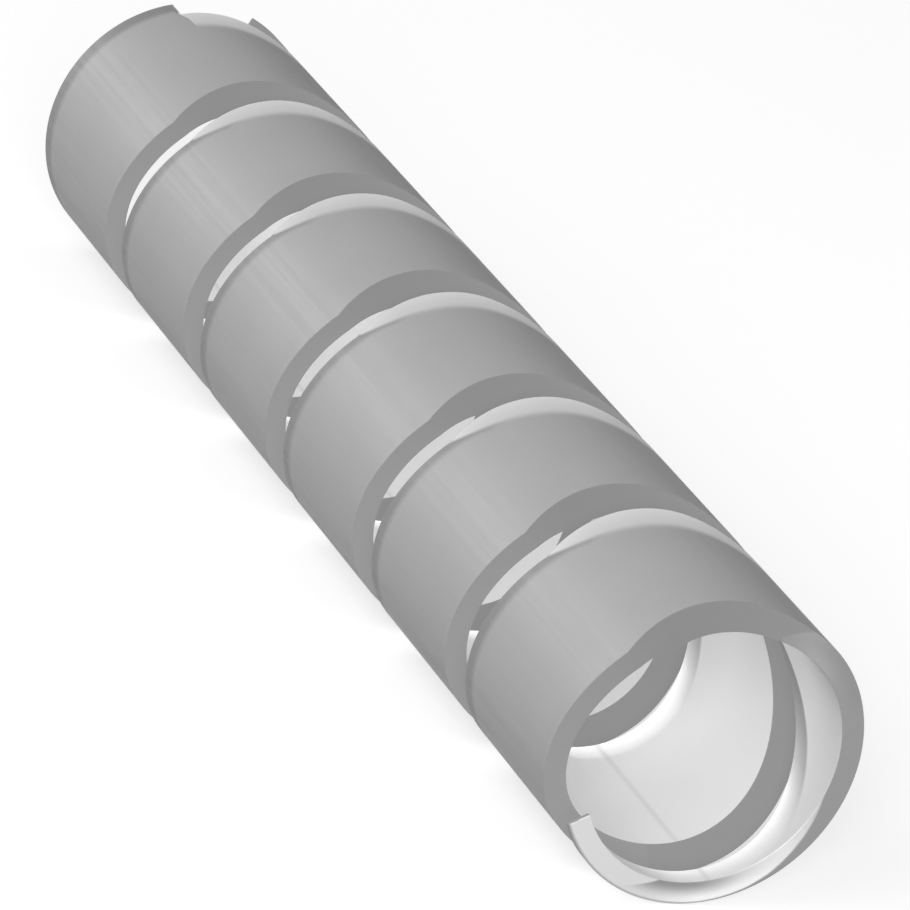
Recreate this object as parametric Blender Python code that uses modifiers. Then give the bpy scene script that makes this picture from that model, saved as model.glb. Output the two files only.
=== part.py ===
# Spiral cable wrap: a plastic tube with one helical slit from end to end, lying on its side.
# Metres, +Z up. The tube's axis runs along X and the origin is on the floor under its middle.
import math

import bpy
import bmesh

# Tube
OUTER_DIAMETER = 0.025
WALL = 0.00185
LENGTH = 0.1222

# Plain left-handed helix that the slit follows, with angles taken from the top of the tube
PITCH = 0.0203
SLIT_WIDTH = 0.00416
SLIT_START_ANGLE = math.radians(-75)
SLIT_TURNS = 6.25
SLIT_CENTRE_AT_TOP = 0.065286
CUT_OVERRUN = 0.001

# Where each turn of the slit leaves that helix, as an angle past the kink high on one side
KINK_ANGLE = math.radians(48.75)
SETTLED_ANGLE = math.radians(30)
LEAVES_ANGLE = math.radians(105)
FORWARD_ANGLE = math.radians(172.5)
BACK_ANGLE = math.radians(307.5)

# How far it stands off the helix there, as shares of the pitch, towards +X where positive
KINK_SHARE = -0.0186
FORWARD_SHARE = 0.147
BACK_SHARE = -0.205

# Over the top of each turn the slit's walls slant, and their inner edges lie further to +X
SLANT_START_ANGLE = math.radians(255)
SLANT_FULL_ANGLE = math.radians(322.5)
SLANT_FADE_ANGLE = math.radians(340)
SLANT_SHARE = 0.08

# There the slit is also wider on its +X side, by a swell that ends at the kink
SWELL_START_ANGLE = math.radians(307.5)
SWELL_SHARE = 0.011

# Facets round the tube
SIDES = 96
MERGE_DISTANCE = 0.000001
SMOOTH_LIMIT = math.radians(30)

OUTER_RADIUS = OUTER_DIAMETER / 2
BORE_RADIUS = OUTER_RADIUS - WALL


def clear_scene():
    for old in list(bpy.data.objects):
        bpy.data.objects.remove(old, do_unlink=True)


def new_collection(name):
    collection = bpy.data.collections.new(name)
    bpy.context.scene.collection.children.link(collection)
    return collection


def natural_plastic():
    """Natural polyethylene, a soft grey-white."""
    material = bpy.data.materials.new("natural_plastic")
    material.use_nodes = True
    shader = material.node_tree.nodes["Principled BSDF"]
    shader.inputs["Base Color"].default_value = (0.62, 0.62, 0.62, 1.0)
    shader.inputs["Roughness"].default_value = 0.5
    shader.inputs["Metallic"].default_value = 0.0
    return material


def eased(low, high, value):
    """0 below low and 1 above high, with a smooth rise between them."""
    share = min(max((value - low) / (high - low), 0.0), 1.0)
    return (1 - math.cos(math.pi * share)) / 2


def past_kink(angle):
    return (angle - KINK_ANGLE) % math.tau


def path_share(angle):
    """How far the slit stands off the plain helix, as a share of the pitch."""
    turned = past_kink(angle)
    if turned < SETTLED_ANGLE:
        return KINK_SHARE * (1 - turned / SETTLED_ANGLE) ** 2
    if turned < FORWARD_ANGLE:
        return FORWARD_SHARE * eased(LEAVES_ANGLE, FORWARD_ANGLE, turned)
    if turned < BACK_ANGLE:
        return FORWARD_SHARE + (BACK_SHARE - FORWARD_SHARE) * eased(FORWARD_ANGLE, BACK_ANGLE, turned)
    return BACK_SHARE + (KINK_SHARE - BACK_SHARE) * ((turned - BACK_ANGLE) / (math.tau - BACK_ANGLE)) ** 2


def slant_share(angle):
    """How far the inner edges lie ahead of the outer ones, as a share of the pitch."""
    turned = past_kink(angle)
    rising = eased(SLANT_START_ANGLE, SLANT_FULL_ANGLE, turned)
    falling = min(1.0, (math.tau - turned) / (math.tau - SLANT_FADE_ANGLE))
    return SLANT_SHARE * rising * falling


def swell_share(angle):
    """How far the slit's +X side stands off its plain width, as a share of the pitch."""
    share = (past_kink(angle) - SWELL_START_ANGLE) / (math.tau - SWELL_START_ANGLE)
    return SWELL_SHARE * math.sin(math.pi * max(0.0, share))


def ring_outline(name, inner, outer, height, collection):
    """A rectangle beside the Z axis that runs down its outer side, as edges to be turned."""
    half = height / 2
    points = [(outer, half), (outer, -half), (inner, -half), (inner, half)]
    mesh = bpy.data.meshes.new(name)
    edges = [(i, (i + 1) % len(points)) for i in range(len(points))]
    mesh.from_pydata([(x, 0.0, z) for x, z in points], edges, [])
    outline = bpy.data.objects.new(name, mesh)
    collection.objects.link(outline)
    return outline


def turn_outline(outline, turns, rise):
    screw = outline.modifiers.new("turn", "SCREW")
    screw.axis = "Z"
    screw.angle = math.tau * turns
    screw.screw_offset = rise
    screw.steps = round(SIDES * turns)
    screw.render_steps = screw.steps
    screw.merge_threshold = MERGE_DISTANCE
    return screw


def turned_tube(collection):
    tube = ring_outline("spiral_wrap", BORE_RADIUS, OUTER_RADIUS, LENGTH, collection)
    turn_outline(tube, 1, 0.0).use_merge_vertices = True
    return tube


def evaluated_mesh(thing):
    graph = bpy.context.evaluated_depsgraph_get()
    return bpy.data.meshes.new_from_object(thing.evaluated_get(graph))


def plain_helix(collection):
    """The slit's space as a left-handed screw that starts at angle zero and height zero."""
    section = ring_outline(
        "slit_section", BORE_RADIUS - CUT_OVERRUN, OUTER_RADIUS + CUT_OVERRUN, SLIT_WIDTH, collection
    )
    turn_outline(section, SLIT_TURNS, -PITCH * SLIT_TURNS)
    mesh = evaluated_mesh(section)
    bpy.data.objects.remove(section, do_unlink=True)
    return mesh


def bend_to_path(mesh):
    """Turns the screw to its start and moves each point along the tube, off the plain helix."""
    start_height = SLIT_CENTRE_AT_TOP - PITCH * SLIT_START_ANGLE / math.tau
    rings = round(SIDES * SLIT_TURNS) + 1
    corners = len(mesh.vertices) // rings
    for vertex in mesh.vertices:
        x, y, z = vertex.co
        ring = vertex.index // corners
        turned = ring * math.tau / SIDES
        angle = turned + SLIT_START_ANGLE
        radius = math.hypot(x, y)
        share = path_share(angle)
        if radius < BORE_RADIUS:
            share += slant_share(angle)
        if z > -PITCH * turned / math.tau:
            share += swell_share(angle)
        height = z + start_height + PITCH * share
        vertex.co = (radius * math.cos(angle), radius * math.sin(angle), height)


def close_ends(mesh):
    builder = bmesh.new()
    builder.from_mesh(mesh)
    rim = [edge for edge in builder.edges if edge.is_boundary]
    bmesh.ops.holes_fill(builder, edges=rim)
    bmesh.ops.recalc_face_normals(builder, faces=builder.faces)
    builder.to_mesh(mesh)
    builder.free()


def slit_cutter(collection):
    mesh = plain_helix(collection)
    bend_to_path(mesh)
    close_ends(mesh)
    cutter = bpy.data.objects.new("slit_cutter", mesh)
    collection.objects.link(cutter)
    cutter.hide_render = True
    cutter.display_type = "WIRE"
    return cutter


def cut(body, cutter):
    boolean = body.modifiers.new("slit", "BOOLEAN")
    boolean.operation = "DIFFERENCE"
    boolean.solver = "EXACT"
    boolean.object = cutter
    weld = body.modifiers.new("weld", "WELD")
    weld.merge_threshold = MERGE_DISTANCE


def shade_smooth(thing):
    """Keeps the result of the modifiers, smooth round the tube and sharp at its edges."""
    mesh = evaluated_mesh(thing)
    thing.modifiers.clear()
    thing.data = mesh
    mesh.shade_smooth()
    mesh.set_sharp_from_angle(angle=SMOOTH_LIMIT)


def lying_axis(collection):
    """An empty whose Z is the tube's axis, along +X, and whose X points up."""
    axis = bpy.data.objects.new("tube_axis", None)
    collection.objects.link(axis)
    axis.location = (0.0, 0.0, OUTER_RADIUS)
    axis.rotation_euler = (0.0, -math.pi / 2, math.pi)
    return axis


def build():
    clear_scene()
    parts = new_collection("spiral_cable_wrap")
    cutters = new_collection("cutters")
    axis = lying_axis(parts)
    tube = turned_tube(parts)
    cutter = slit_cutter(cutters)
    cut(tube, cutter)
    shade_smooth(tube)
    tube.data.materials.append(natural_plastic())
    tube.parent = axis
    cutter.parent = axis


build()
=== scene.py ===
# The looks of the spiral cable wrap: its finish, a floor, soft light and the camera.
import math

import bmesh
import bpy
from mathutils import Matrix, Vector


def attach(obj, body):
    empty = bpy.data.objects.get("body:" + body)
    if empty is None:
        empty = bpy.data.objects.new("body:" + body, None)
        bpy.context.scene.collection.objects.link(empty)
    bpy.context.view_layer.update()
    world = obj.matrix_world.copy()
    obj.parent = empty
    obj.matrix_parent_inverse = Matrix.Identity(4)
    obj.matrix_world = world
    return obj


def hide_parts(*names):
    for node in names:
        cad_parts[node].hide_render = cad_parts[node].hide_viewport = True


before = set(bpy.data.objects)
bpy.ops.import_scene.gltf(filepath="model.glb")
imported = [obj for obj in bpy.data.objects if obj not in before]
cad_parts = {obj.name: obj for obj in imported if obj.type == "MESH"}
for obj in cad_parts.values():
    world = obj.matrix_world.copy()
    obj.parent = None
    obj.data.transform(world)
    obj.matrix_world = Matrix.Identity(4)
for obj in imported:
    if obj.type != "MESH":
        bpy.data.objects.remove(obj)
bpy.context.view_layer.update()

# Tube, as in the solid: metres, with its axis along X
OUTER_RADIUS = 0.0125
WALL = 0.00185
LENGTH = 0.1222
BORE_RADIUS = OUTER_RADIUS - WALL
NEAR_END = LENGTH / 2
FAR_END = -LENGTH / 2

# Slit: a left-handed helix, with angles from the top of the tube
PITCH = 0.0203
SLIT_WIDTH = 0.00416
SLIT_CENTRE_AT_TOP = 0.065286
SLIT_END_ANGLE = math.radians(2175)
KINK_ANGLE = math.radians(48.75)
SETTLED_ANGLE = math.radians(30)
LEAVES_ANGLE = math.radians(80)
FORWARD_ANGLE = math.radians(172.5)
BACK_ANGLE = math.radians(307.5)
KINK_SHARE = -0.0186
FORWARD_SHARE = 0.163
BACK_SHARE = -0.205
SLANT_START_ANGLE = math.radians(255)
SLANT_FULL_ANGLE = math.radians(322.5)
SLANT_FADE_ANGLE = math.radians(340)
SLANT_SHARE = 0.08
SWELL_START_ANGLE = math.radians(307.5)
SWELL_SHARE = 0.011

# Round the far side the walls slant the other way, and at the near end the band's tip is blunt
LAG_RISE_ANGLES = (math.radians(80), math.radians(130))
LAG_FALL_ANGLES = (math.radians(225), math.radians(270))
LAG_SHARE = 0.08
TIP_ANGLE = math.radians(-241)

# Where the band's two tips are looked for
NEAR_TIP_RANGE = (math.radians(-285), math.radians(-205))
FAR_TIP_RANGE = (math.radians(2095), math.radians(2165))

# Camera, turned so that the picture shows the tube as the photograph does
CAMERA_PLACE = (0.4563, -0.24, 0.2008 + OUTER_RADIUS)
CAMERA_FORWARD = (-0.8204, 0.4387, -0.3669)
CAMERA_RIGHT = (0.3721, 0.8964, 0.2402)
CAMERA_LENS = 261.1
CAMERA_SENSOR = 36.0
CAMERA_NEAREST = 0.01

# Sky and floor, which the camera sees as white and which light the tube only a little
SKY_STRENGTH = 0.25
FLOOR_SIZE = 3.0
FLOOR_DROP = 0.00005
FLOOR_ROUGHNESS = 0.9
FLOOR_BOUNCE = 0.06
FLOOR_TONE = 0.5
FLOOR_GLOW = 0.655

# Lamps, each with its way from the tube, its width and its power: a broad one on the
# camera's side, a key lamp above, and one behind for the sheen
LAMP_DISTANCE = 1.5
LAMPS = {
    "front": ((0.80, -0.42, 0.405), 0.75, 15.4),
    "key": ((0.25, -0.745, 0.618), 1.1, 6.1),
    "back": ((-0.82, -0.513, 0.252), 0.75, 5.2),
}

# Tones: the skin's own, the dark strip's painted shade, the bore's lifted by painted light, the walls'
# painted shade
SKIN_TONE = 0.425
PAINTED_SHADE_TONE = 0.275
BORE_TONE_WITH_PAINTED_LIGHT = 0.7
CUT_TONE_WITH_PAINTED_SHADE = 0.08
WHITEST = 0.95

# How bright a colour of 1 renders in the bore and in the painted light on the near end's face
BORE_LIGHTNESS = 1.1
FACE_LIGHTNESS = 0.85

# Painted light: a glow on the bore and the walls, lifting them where the lamps reach little. In the
# bore it grows between two distances from the near end, counted in pitches
CUT_GLOW = 0.225
BORE_GLOW = 0.27
DEEP_GLOW = 0.4
DEEP_START = 1.4
DEEP_END = 2.4
BORE_WHITE_GLOW = 0.7

# Painted light: a light strip on the skin beside each band's back edge. Its widths are shares of
# the pitch, and its tone starts at the first of LIGHT_ACROSS and falls across it at the rate of the
# second
LIGHT_WIDTH = 0.163
LIGHT_BLENDS = (0.012, 0.035)
LIGHT_BLEND_ANGLE = math.radians(45)
LIGHT_ACROSS = (1.08, 1.5)
LIGHT_RISE_ANGLE = math.radians(17)
LIGHT_FADE_ANGLES = (math.radians(100), math.radians(150))

# Painted shade: a dark strip beside it, in shares of the pitch too
DARK_BLEND = 0.026
DARK_WIDTH = 0.048
DARK_GROWTH = 0.023
DARK_REACH_ANGLE = math.radians(15)
DARK_REACH_WIDTH = 0.112
DARK_FADE_ANGLES = (math.radians(110), math.radians(150))
FAR_END_DARK_WIDTH = 0.079

# Tone of the painted light strip, by the angle from the top
PAINTED_LIGHT_TONES = (
    (-90, 0.95),
    (-30, 0.95),
    (-20, 0.94),
    (-10, 0.9),
    (0, 0.82),
    (10, 0.745),
    (20, 0.705),
    (30, 0.66),
    (50, 0.67),
)

# Painted shade on the slit's walls: the share of their tone that they keep, by the angle from the top,
# least where they slant
WALL_SHADE_SHARES = (
    (-90, 0.97),
    (-60, 0.97),
    (-30, 0.94),
    (0, 0.89),
    (20, 0.87),
    (30, 0.865),
    (42, 0.87),
    (60, 0.935),
    (80, 0.97),
    (120, 1.02),
)

# Painted light and shade on a strip of the bore beside each band's back edge, by the angle past the
# kink: its width as a share of the pitch, its tone at the edge and its tone at its soft side
THINNEST_BORE_STRIP = 0.002
BORE_STRIP_END = (0.9, 1.1)
BORE_STRIP = (
    (100, 0.0, 0.7, 0.7),
    (131, 0.1, 1.0, 0.75),
    (183, 0.13, 1.0, 0.72),
    (196, 0.124, 0.95, 0.59),
    (208, 0.115, 0.6, 0.4),
    (219, 0.108, 0.42, 0.33),
    (233, 0.09, 0.28, 0.26),
    (262, 0.04, 0.22, 0.22),
    (300, 0.0, 0.22, 0.22),
)

# Painted shade: a fine dark line along the bore
SHADE_LINE_ANGLE = math.radians(193.125)
SHADE_LINE_WIDTH = math.radians(2.2)
SHADE_LINE_DARKEST = 0.88

# Painted shade: the bore darkens towards the near end, over a share of the pitch, and most near the top
MOUTH_REACH = 0.35
MOUTH_SHADE = 0.8
MOUTH_TOP_SHADE = 0.42
MOUTH_TOP_ANGLES = (math.radians(285), math.radians(345))

# Painted light on parts of the near end's face, by the angle from the top: where it ends, as a share of
# the wall's depth from the bore, and its tones beside the bore and beside the skin
FACE_LIGHT = (
    (111, 0.92, 0.3, 0.6),
    (168, 0.92, 0.3, 0.75),
    (178, 0.91, 0.3, 0.88),
    (188, 0.91, 0.33, 1.0),
    (198, 0.89, 0.48, 1.0),
    (208, 0.86, 0.72, 1.0),
    (218, 0.76, 0.82, 0.97),
    (228, 0.57, 0.87, 0.87),
    (238, 0.37, 0.77, 0.77),
    (248, 0.14, 0.65, 0.65),
    (262, -0.2, 0.6, 0.6),
    (282, -0.2, 0.318, 0.322),
    (292, 1.2, 0.33, 0.318),
    (300, 1.2, 0.332, 0.3),
    (308, 1.2, 0.35, 0.3),
    (320, 1.2, 0.395, 0.312),
    (326, 1.2, 0.405, 0.335),
    (333, 1.12, 0.38, 0.37),
    (337, 0.75, 0.36, 0.37),
    (341, 0.42, 0.34, 0.36),
    (345, 0.2, 0.33, 0.35),
    (350, 0.03, 0.32, 0.34),
    (355, -0.12, 0.31, 0.33),
)
FACE_LIGHT_END = math.radians(FACE_LIGHT[-1][0])
FACE_BLEND = 0.08
FACE_TONE_DEPTHS = (0.05, 0.85)

# Before this line, which crosses the wall, the painted light on the face has one tone
FACE_FLAT_TONE = 0.74
FACE_LINE_AT_SKIN_ANGLE = math.radians(152.3)
FACE_LINE_AT_BORE_ANGLE = math.radians(169.6)
FACE_LINE_BLEND = math.radians(0.8)

# Fine detail: a faint mottle, drawing lines along the tube and saw lines across the walls
MOTTLE = 0.012
MOTTLE_SCALE = (160.0, 160.0, 160.0)
ALONG_LINES = (40.0, 2500.0, 2500.0)
ACROSS_LINES = (3000.0, 900.0, 900.0)
LINE_STRENGTH = 0.07
LINE_DEPTH = 0.00001
SKIN_ROUGHNESS = 0.5
CUT_ROUGHNESS = 0.6
ROUGHNESS_SPREAD = 0.05
NOISE_RANGE = (0.3, 0.7)

# Mesh
ANGLE_STEP = math.radians(1.875)
ROWS = 14
END_ROWS = 4
EDGE_ROUNDING = 0.00008
TIP_MARGIN = math.radians(0.1)
MERGE_DISTANCE = 0.0000002
SHARP_LIMIT = math.radians(50)
WALL_LIMIT = 0.5
SKIN, CUT, BORE = range(3)


def eased(low, high, value):
    """0 below low and 1 above high, with a smooth rise between them."""
    share = min(max((value - low) / (high - low), 0.0), 1.0)
    return (1 - math.cos(math.pi * share)) / 2


def past_kink(angle):
    return (angle - KINK_ANGLE) % math.tau


def path_share(angle):
    """How far the slit stands off the plain helix, as a share of the pitch."""
    turned = past_kink(angle)
    if turned < SETTLED_ANGLE:
        return KINK_SHARE * (1 - turned / SETTLED_ANGLE) ** 2
    if turned < FORWARD_ANGLE:
        return FORWARD_SHARE * eased(LEAVES_ANGLE, FORWARD_ANGLE, turned)
    if turned < BACK_ANGLE:
        return FORWARD_SHARE + (BACK_SHARE - FORWARD_SHARE) * eased(FORWARD_ANGLE, BACK_ANGLE, turned)
    return BACK_SHARE + (KINK_SHARE - BACK_SHARE) * ((turned - BACK_ANGLE) / (math.tau - BACK_ANGLE)) ** 2


def slant(angle):
    """How far the inner edges lie ahead of the outer ones."""
    turned = past_kink(angle)
    rising = eased(SLANT_START_ANGLE, SLANT_FULL_ANGLE, turned)
    falling = min(1.0, (math.tau - turned) / (math.tau - SLANT_FADE_ANGLE))
    return PITCH * SLANT_SHARE * rising * falling


def lag(angle):
    """How far the outer edges lie ahead of the inner ones, round the side the slit's walls hide."""
    turned = past_kink(angle)
    return PITCH * LAG_SHARE * eased(*LAG_RISE_ANGLES, turned) * (1 - eased(*LAG_FALL_ANGLES, turned))


def swell(angle):
    """How much wider the slit is on its +X side, just before the kink."""
    share = (past_kink(angle) - SWELL_START_ANGLE) / (math.tau - SWELL_START_ANGLE)
    return PITCH * SWELL_SHARE * math.sin(math.pi * max(0.0, share))


def slit_centre(angle):
    return SLIT_CENTRE_AT_TOP - PITCH * angle / math.tau + PITCH * path_share(angle)


def inside_tube(z):
    return max(FAR_END, min(NEAR_END, z))


def front_edge(angle, lead=0.0):
    """Where the band behind the slit begins at this angle, along the tube."""
    return inside_tube(slit_centre(angle) - SLIT_WIDTH / 2 + lead)


def back_edge(angle, lead=0.0):
    """Where that band ends, one turn later, at the slit's other side."""
    later = angle + math.tau
    return inside_tube(slit_centre(later) + SLIT_WIDTH / 2 + swell(later) + lead)


def crossing(function, low, high):
    """The angle between low and high where a falling function reaches zero."""
    for _ in range(50):
        middle = (low + high) / 2
        if function(middle) > 0:
            low = middle
        else:
            high = middle
    return (low + high) / 2


def tip_angles():
    """Where the band begins at the near end and where it runs out at the far end."""
    half = SLIT_WIDTH / 2
    first = crossing(lambda angle: slit_centre(angle + math.tau) + half - NEAR_END, *NEAR_TIP_RANGE)
    last = crossing(lambda angle: slit_centre(angle) - half - FAR_END, *FAR_TIP_RANGE)
    return first, last


def spread(first, last, count):
    return [first + (last - first) * i / count for i in range(count + 1)]


def corner(z, r, dz, dr, rounding):
    """Three points of a rounded corner, from its side along the tube to its side on the wall."""
    middle = 1 - math.sqrt(0.5)
    return [
        (z + dz * rounding, r),
        (z + dz * rounding * middle, r + dr * rounding * middle),
        (z, r + dr * rounding),
    ]


class Section:
    """The band's section at one angle, as a closed loop of points (along the tube, radius)."""

    def __init__(self, angle, split_share):
        lead, outer_lead = slant(angle), lag(angle)
        self.angle = angle
        self.split = split_share is not None
        self.front = front_edge(angle, outer_lead)
        self.back = back_edge(angle, outer_lead) if split_share is None else FAR_END
        front_in = front_edge(angle, lead)
        back_in = back_edge(angle, lead) if split_share is None else FAR_END
        self.back_in = back_in
        self.meets_near_end = front_in == NEAR_END
        rounding = min(EDGE_ROUNDING, 0.3 * (self.front - self.back))
        outer = self.rows(self.front, self.back, rounding, split_share)
        inner = self.rows(front_in, back_in, rounding, split_share)
        loop = [(z, OUTER_RADIUS, SKIN) for z in outer[:-1]] + [(outer[-1], OUTER_RADIUS, CUT)]
        loop += [(z, r, CUT) for z, r in corner(self.back, OUTER_RADIUS, 1, -1, rounding)[1:]]
        loop += [(z, r, CUT) for z, r in corner(back_in, BORE_RADIUS, 1, 1, rounding)[:0:-1]]
        loop += [(z, BORE_RADIUS, BORE) for z in inner[:0:-1]] + [(inner[0], BORE_RADIUS, CUT)]
        loop += [(z, r, CUT) for z, r in corner(front_in, BORE_RADIUS, -1, 1, rounding)[1:]]
        loop += [(z, r, CUT) for z, r in corner(self.front, OUTER_RADIUS, -1, -1, rounding)[:0:-1]]
        self.loop = loop

    @staticmethod
    def rows(front, back, rounding, split_share):
        """Places along the band, with the last few past the end of the slit where it has one."""
        if split_share is None:
            return spread(front - rounding, back + rounding, ROWS) + [back + rounding] * END_ROWS
        split = front + split_share * (back - front)
        return spread(front - rounding, split, ROWS) + spread(split, back + rounding, END_ROWS)[1:]


def look_up(table, place):
    """The values of a table at a place between its rows, each row's first value being its place."""
    if place <= table[0][0]:
        return table[0][1:]
    for row, following in zip(table, table[1:]):
        if place <= following[0]:
            share = (place - row[0]) / (following[0] - row[0])
            return [a + share * (b - a) for a, b in zip(row[1:], following[1:])]
    return table[-1][1:]


def light_width(section):
    """Width of the painted light strip on the skin, which starts at the kink and grows back from it."""
    if section.split:
        return -light_blend(section)
    before = math.tau - past_kink(section.angle)
    width = LIGHT_WIDTH * (1 - math.exp(-before / LIGHT_RISE_ANGLE))
    fade = eased(*LIGHT_FADE_ANGLES, before)
    return width * (1 - fade) - light_blend(section) * fade


def light_blend(section):
    """Over what share of the pitch the painted light strip blends into the skin, sharply at the kink."""
    sharp, soft = LIGHT_BLENDS
    return sharp + (soft - sharp) * eased(0.0, LIGHT_BLEND_ANGLE, math.tau - past_kink(section.angle))


# Width of the painted shade strip on the skin
def dark_width(section):
    if section.split:
        return FAR_END_DARK_WIDTH
    turned = past_kink(section.angle)
    before = math.tau - turned
    if before < DARK_FADE_ANGLES[0]:
        reach = min(1.0, before / DARK_REACH_ANGLE)
        return DARK_WIDTH + (DARK_REACH_WIDTH - DARK_WIDTH) * reach
    width = DARK_WIDTH + DARK_GROWTH * turned
    return width * (1 - eased(*DARK_FADE_ANGLES, turned)) - DARK_BLEND * eased(*DARK_FADE_ANGLES, turned)


def marks(section, z, r):
    """What the materials need to know at a point of the band, by the attribute's name."""
    depth = (r - BORE_RADIUS) / WALL
    width, edge_tone, side_tone = look_up(BORE_STRIP, math.degrees(past_kink(section.angle)))
    face_line_angle = FACE_LINE_AT_BORE_ANGLE + depth * (FACE_LINE_AT_SKIN_ANGLE - FACE_LINE_AT_BORE_ANGLE)
    reach, inner_tone, outer_tone = look_up(FACE_LIGHT, math.degrees(section.angle + math.tau))
    from_top = math.degrees((section.angle + math.pi) % math.tau - math.pi)
    light_start, light_fall = LIGHT_ACROSS
    from_back = (z - section.back) / PITCH
    on_near_end = section.meets_near_end and z > section.front - 2 * EDGE_ROUNDING
    lit = on_near_end and section.angle < FACE_LIGHT_END - math.tau
    return {
        # Marks for the painted light strip and the painted shade strip on the skin
        "painted_light_strip": (light_width(section) - from_back) / light_blend(section),
        "painted_light_tone": look_up(PAINTED_LIGHT_TONES, from_top)[0] * (light_start - light_fall * from_back),
        "painted_shade_strip": dark_width(section) - from_back,
        # Marks for the bore's painted light and shade, and the walls' painted shade
        "bore_strip": (z - section.back_in) / (PITCH * max(width, THINNEST_BORE_STRIP)),
        "bore_edge_tone": edge_tone,
        "bore_side_tone": side_tone,
        "mouth": (z - NEAR_END) / PITCH,
        "mouth_top": eased(*MOUTH_TOP_ANGLES, section.angle % math.tau),
        "shade_line": abs(section.angle % math.tau - SHADE_LINE_ANGLE),
        "wall_depth": depth,
        "wall_shade_share": look_up(WALL_SHADE_SHARES, from_top)[0],
        # Marks for the painted light on the near end's face
        "face_light": reach - depth if lit else -1.0,
        "face_inner_tone": inner_tone,
        "face_outer_tone": outer_tone,
        "face_line": section.angle + math.tau - face_line_angle,
    }


def band_sections():
    """All sections, from tip to tip, with two where the far end's slit stops."""
    first, last = tip_angles()
    first = max(first, TIP_ANGLE)
    join = SLIT_END_ANGLE - math.tau
    split_share = (front_edge(join) - back_edge(join) - EDGE_ROUNDING) / (front_edge(join) - FAR_END)
    low = math.ceil(first / ANGLE_STEP + 0.1)
    high = math.floor(last / ANGLE_STEP - 0.1)
    inside = [count * ANGLE_STEP for count in range(low, high + 1)]
    before = [angle for angle in inside if angle < join + ANGLE_STEP / 2]
    after = [angle for angle in inside if angle > join - ANGLE_STEP / 2]
    sections = [Section(angle, None) for angle in [first + TIP_MARGIN] + before]
    return sections + [Section(angle, split_share) for angle in after + [last - TIP_MARGIN]]


def build_band():
    builder = bmesh.new()
    for name in marks(Section(0.0, None), 0.0, BORE_RADIUS):
        builder.verts.layers.float.new(name)
    kinds = [kind for _, _, kind in Section(0.0, None).loop]
    rings = [add_ring(builder, section) for section in band_sections()]
    for near, far in zip(rings, rings[1:]):
        for k, kind in enumerate(kinds):
            m = (k + 1) % len(kinds)
            builder.faces.new((near[k], near[m], far[m], far[k])).material_index = kind
    for ring in (rings[0], rings[-1]):
        builder.faces.new(ring).material_index = CUT
    bmesh.ops.remove_doubles(builder, verts=builder.verts, dist=MERGE_DISTANCE)
    bmesh.ops.dissolve_degenerate(builder, dist=MERGE_DISTANCE, edges=builder.edges)
    bmesh.ops.recalc_face_normals(builder, faces=builder.faces)
    mesh = bpy.data.meshes.new("wrap_band")
    builder.to_mesh(mesh)
    builder.free()
    mesh.shade_smooth()
    mesh.set_sharp_from_angle(angle=SHARP_LIMIT)
    set_true_normals(mesh)
    band = bpy.data.objects.new("wrap_band", mesh)
    bpy.context.scene.collection.objects.link(band)
    return band


def add_ring(builder, section):
    """The section's points in place round the tube, each with its marks."""
    ring = []
    for z, r, _ in section.loop:
        across = -r * math.sin(section.angle)
        vertex = builder.verts.new((z, across, OUTER_RADIUS + r * math.cos(section.angle)))
        for name, value in marks(section, z, r).items():
            vertex[builder.verts.layers.float[name]] = value
        ring.append(vertex)
    return ring


def set_true_normals(mesh):
    """Shades the skin and the bore as round, and the slit's walls as cut square to the tube."""
    normals = [Vector(normal.vector) for normal in mesh.corner_normals]
    for face in mesh.polygons:
        if face.material_index == CUT and abs(face.normal.x) < WALL_LIMIT:
            continue
        for k in face.loop_indices:
            point = mesh.vertices[mesh.loops[k].vertex_index].co
            outward = Vector((0.0, point.y, point.z - OUTER_RADIUS)).normalized()
            square = Vector((math.copysign(1.0, face.normal.x), 0.0, 0.0))
            normals[k] = {SKIN: outward, BORE: -outward, CUT: square}[face.material_index]
    mesh.normals_split_custom_set(normals)


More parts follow.
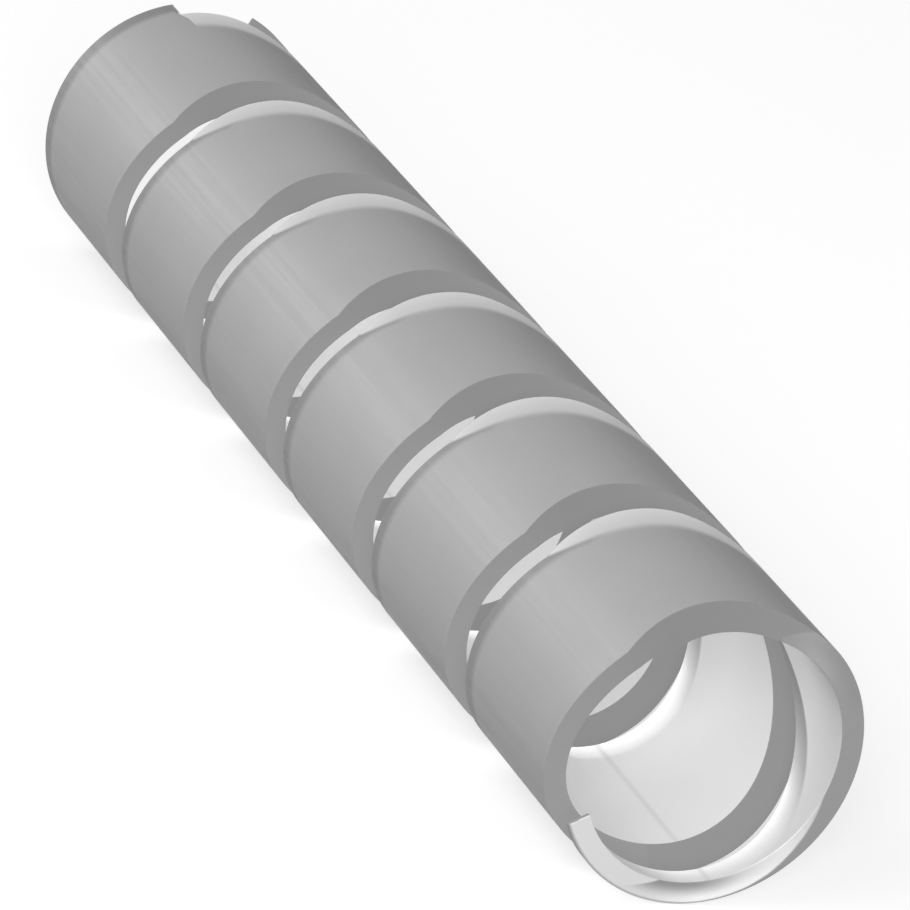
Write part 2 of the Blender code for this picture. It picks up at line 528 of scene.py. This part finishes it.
class Finish:
    """A material's nodes, and short ways to add and join them."""

    def __init__(self, name):
        self.material = bpy.data.materials.new(name)
        self.material.use_nodes = True
        self.nodes = self.material.node_tree.nodes
        self.links = self.material.node_tree.links
        self.shader = self.nodes["Principled BSDF"]

    def put(self, value, socket):
        """Joins an output to a socket, or sets the socket to a plain number."""
        if isinstance(value, (int, float)):
            socket.default_value = value
        else:
            self.links.new(value, socket)

    def mark(self, name):
        node = self.nodes.new("ShaderNodeAttribute")
        node.attribute_name = name
        return node.outputs["Fac"]

    def math(self, operation, first, second):
        node = self.nodes.new("ShaderNodeMath")
        node.operation = operation
        self.put(first, node.inputs[0])
        self.put(second, node.inputs[1])
        return node.outputs["Value"]

    def between(self, value, low, high, start=0.0, end=1.0):
        """A smooth change from start to end while the value goes from low to high."""
        node = self.nodes.new("ShaderNodeMapRange")
        node.interpolation_type = "SMOOTHSTEP"
        names = ("Value", "From Min", "From Max", "To Min", "To Max")
        for name, given in zip(names, (value, low, high, start, end)):
            self.put(given, node.inputs[name])
        return node.outputs["Result"]

    def mix(self, share, first, second):
        node = self.nodes.new("ShaderNodeMix")
        self.put(share, node.inputs["Factor"])
        self.put(first, node.inputs["A"])
        self.put(second, node.inputs["B"])
        return node.outputs["Result"]

    def noise(self, scale, detail):
        """Noise in the object's own space, with a scale for each axis."""
        where = self.nodes.new("ShaderNodeTexCoord")
        mapping = self.nodes.new("ShaderNodeMapping")
        mapping.inputs["Scale"].default_value = scale
        texture = self.nodes.new("ShaderNodeTexNoise")
        texture.inputs["Scale"].default_value = 1.0
        texture.inputs["Detail"].default_value = detail
        self.links.new(where.outputs["Object"], mapping.inputs["Vector"])
        self.links.new(mapping.outputs["Vector"], texture.inputs["Vector"])
        return texture.outputs["Fac"]

    def finish(self, tone, glow, lines, roughness):
        """Sets the tone with a faint mottle, the surface's fine lines and its sheen."""
        mottle = self.between(self.noise(MOTTLE_SCALE, 3.0), *NOISE_RANGE, 1 - MOTTLE, 1 + MOTTLE)
        tone = self.math("MULTIPLY", tone, mottle)
        colour = self.nodes.new("ShaderNodeCombineColor")
        for name in ("Red", "Green", "Blue"):
            self.links.new(self.math("MINIMUM", tone, WHITEST), colour.inputs[name])
        self.links.new(colour.outputs["Color"], self.shader.inputs["Base Color"])
        fine = self.noise(lines, 4.0)
        bump = self.nodes.new("ShaderNodeBump")
        bump.inputs["Strength"].default_value = LINE_STRENGTH
        bump.inputs["Distance"].default_value = LINE_DEPTH
        self.links.new(fine, bump.inputs["Height"])
        self.links.new(bump.outputs["Normal"], self.shader.inputs["Normal"])
        smoother, rougher = roughness - ROUGHNESS_SPREAD, roughness + ROUGHNESS_SPREAD
        worn = self.between(fine, *NOISE_RANGE, smoother, rougher)
        self.links.new(worn, self.shader.inputs["Roughness"])
        if glow is not None:
            self.shader.inputs["Emission Color"].default_value = (1.0, 1.0, 1.0, 1.0)
            self.links.new(glow, self.shader.inputs["Emission Strength"])
        return self.material


def skin_finish():
    """The outer skin, with a painted light strip and a painted shade strip along each band's back edge.
    """
    make = Finish("skin")
    # Painted shade strip, then painted light strip, over the skin's own tone
    dark = make.between(make.mark("painted_shade_strip"), -DARK_BLEND, DARK_BLEND)
    light = make.between(make.mark("painted_light_strip"), -1.0, 1.0)
    tone = make.mix(dark, SKIN_TONE, PAINTED_SHADE_TONE)
    tone = make.mix(light, tone, make.mark("painted_light_tone"))
    return make.finish(tone, None, ALONG_LINES, SKIN_ROUGHNESS)


def bore_finish():
    """The inner surface: a tone and a glow of painted light, with painted light and shade beside the back
    edges, a painted shade line and painted shade towards the near end.
    """
    make = Finish("bore")
    # Painted light and shade on the strip beside the back edge
    strip = make.mark("bore_strip")
    strip_tone = make.mix(strip, make.mark("bore_edge_tone"), make.mark("bore_side_tone"))
    tone = make.mix(make.between(strip, *BORE_STRIP_END), strip_tone, BORE_TONE_WITH_PAINTED_LIGHT)
    # Painted shade line along the bore
    shade_line = make.between(make.mark("shade_line"), 0.0, SHADE_LINE_WIDTH, SHADE_LINE_DARKEST, 1.0)
    tone = make.math("MULTIPLY", tone, shade_line)
    # Painted shade towards the near end, most near the top
    shade = make.mix(make.mark("mouth_top"), MOUTH_SHADE, MOUTH_TOP_SHADE)
    mouth = make.between(make.mark("mouth"), -MOUTH_REACH, 0.0)
    tone = make.mix(mouth, tone, make.math("MULTIPLY", tone, shade))
    # Painted glow: more deep in the bore, and more where the painted light lifts the tone past the bore's
    # own
    bright = make.math("MAXIMUM", make.math("SUBTRACT", tone, BORE_TONE_WITH_PAINTED_LIGHT), 0.0)
    deep = make.between(make.mark("mouth"), -DEEP_END, -DEEP_START, DEEP_GLOW, BORE_GLOW)
    glow = make.math("MULTIPLY", tone, deep)
    glow = make.math("ADD", glow, make.math("MULTIPLY", bright, BORE_WHITE_GLOW))
    return make.finish(make.math("DIVIDE", tone, BORE_LIGHTNESS), glow, ALONG_LINES, SKIN_ROUGHNESS)


def cut_finish():
    """The slit's walls and the ends: a dark tone and a glow that paint them evenly shaded, but for the
    painted light on part of the near end.
    """
    make = Finish("cut")
    # Painted light on part of the near end's face
    lit = make.between(make.mark("face_light"), -FACE_BLEND, FACE_BLEND)
    rising = make.between(make.mark("wall_depth"), *FACE_TONE_DEPTHS)
    tone = make.mix(rising, make.mark("face_inner_tone"), make.mark("face_outer_tone"))
    past_face_line = make.between(make.mark("face_line"), -FACE_LINE_BLEND, FACE_LINE_BLEND)
    tone = make.mix(past_face_line, FACE_FLAT_TONE, tone)
    # Painted glow where that painted light is whitest
    bright = make.math("MAXIMUM", make.math("SUBTRACT", tone, FACE_LIGHTNESS * WHITEST), 0.0)
    # Painted shade on the walls, by the angle from the top, with a painted glow that keeps them evenly
    # shaded
    wall_shade_share = make.mark("wall_shade_share")
    glow = make.mix(lit, make.math("MULTIPLY", wall_shade_share, CUT_GLOW), bright)
    tone = make.mix(lit, make.math("MULTIPLY", wall_shade_share, CUT_TONE_WITH_PAINTED_SHADE * FACE_LIGHTNESS), tone)
    return make.finish(make.math("DIVIDE", tone, FACE_LIGHTNESS), glow, ACROSS_LINES, CUT_ROUGHNESS)


def area_light(name, position, target, size, power):
    data = bpy.data.lights.new(name, "AREA")
    data.shape = "DISK"
    data.size = size
    data.energy = power
    light = bpy.data.objects.new(name, data)
    bpy.context.scene.collection.objects.link(light)
    light.location = position
    light.rotation_euler = (Vector(target) - Vector(position)).to_track_quat("-Z", "Y").to_euler()
    return light


def add_camera():
    data = bpy.data.cameras.new("camera")
    data.sensor_width = CAMERA_SENSOR
    data.lens = CAMERA_LENS
    data.clip_start = CAMERA_NEAREST
    camera = bpy.data.objects.new("camera", data)
    bpy.context.scene.collection.objects.link(camera)
    forward = Vector(CAMERA_FORWARD).normalized()
    right = Vector(CAMERA_RIGHT).normalized()
    up = right.cross(forward)
    turn = Matrix((right, up, -forward)).transposed().to_4x4()
    camera.matrix_world = Matrix.Translation(CAMERA_PLACE) @ turn
    bpy.context.scene.camera = camera


def add_world():
    world = bpy.data.worlds.new("studio")
    bpy.context.scene.world = world
    world.use_nodes = True
    nodes, links = world.node_tree.nodes, world.node_tree.links
    background = nodes["Background"]
    background.inputs["Color"].default_value = (1.0, 1.0, 1.0, 1.0)
    path = nodes.new("ShaderNodeLightPath")
    strength = nodes.new("ShaderNodeMix")
    strength.inputs["A"].default_value = SKY_STRENGTH
    strength.inputs["B"].default_value = 1.0
    links.new(path.outputs["Is Camera Ray"], strength.inputs["Factor"])
    links.new(strength.outputs["Result"], background.inputs["Strength"])


def add_floor():
    mesh = bpy.data.meshes.new("floor")
    half = FLOOR_SIZE / 2
    corners = [(-half, -half, 0), (half, -half, 0), (half, half, 0), (-half, half, 0)]
    mesh.from_pydata(corners, [], [(0, 1, 2, 3)])
    floor = bpy.data.objects.new("floor", mesh)
    bpy.context.scene.collection.objects.link(floor)
    floor.location.z = -FLOOR_DROP
    material = bpy.data.materials.new("floor")
    material.use_nodes = True
    nodes, links = material.node_tree.nodes, material.node_tree.links
    shader = nodes["Principled BSDF"]
    shader.inputs["Roughness"].default_value = FLOOR_ROUGHNESS
    shader.inputs["Specular IOR Level"].default_value = 0.0
    path = nodes.new("ShaderNodeLightPath")
    seen = nodes.new("ShaderNodeMath")
    seen.operation = "MAXIMUM"
    links.new(path.outputs["Is Camera Ray"], seen.inputs[0])
    links.new(path.outputs["Is Glossy Ray"], seen.inputs[1])
    colour = nodes.new("ShaderNodeMix")
    colour.data_type = "RGBA"
    colour.inputs["A"].default_value = (FLOOR_BOUNCE, FLOOR_BOUNCE, FLOOR_BOUNCE, 1.0)
    colour.inputs["B"].default_value = (FLOOR_TONE, FLOOR_TONE, FLOOR_TONE, 1.0)
    links.new(seen.outputs["Value"], colour.inputs["Factor"])
    links.new(colour.outputs["Result"], shader.inputs["Base Color"])
    shader.inputs["Emission Color"].default_value = (1.0, 1.0, 1.0, 1.0)
    glow = nodes.new("ShaderNodeMath")
    glow.operation = "MULTIPLY"
    glow.inputs[1].default_value = FLOOR_GLOW
    links.new(seen.outputs["Value"], glow.inputs[0])
    links.new(glow.outputs["Value"], shader.inputs["Emission Strength"])
    mesh.materials.append(material)


band = build_band()
for finish in (skin_finish, cut_finish, bore_finish):
    band.data.materials.append(finish())
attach(band, "root")
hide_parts("spiral_wrap")

add_floor()
add_world()
add_camera()
for name, (way, size, power) in LAMPS.items():
    area_light(name, Vector(way) * LAMP_DISTANCE, (0, 0, 0), size, power)
bpy.context.scene.view_settings.view_transform = "Standard"
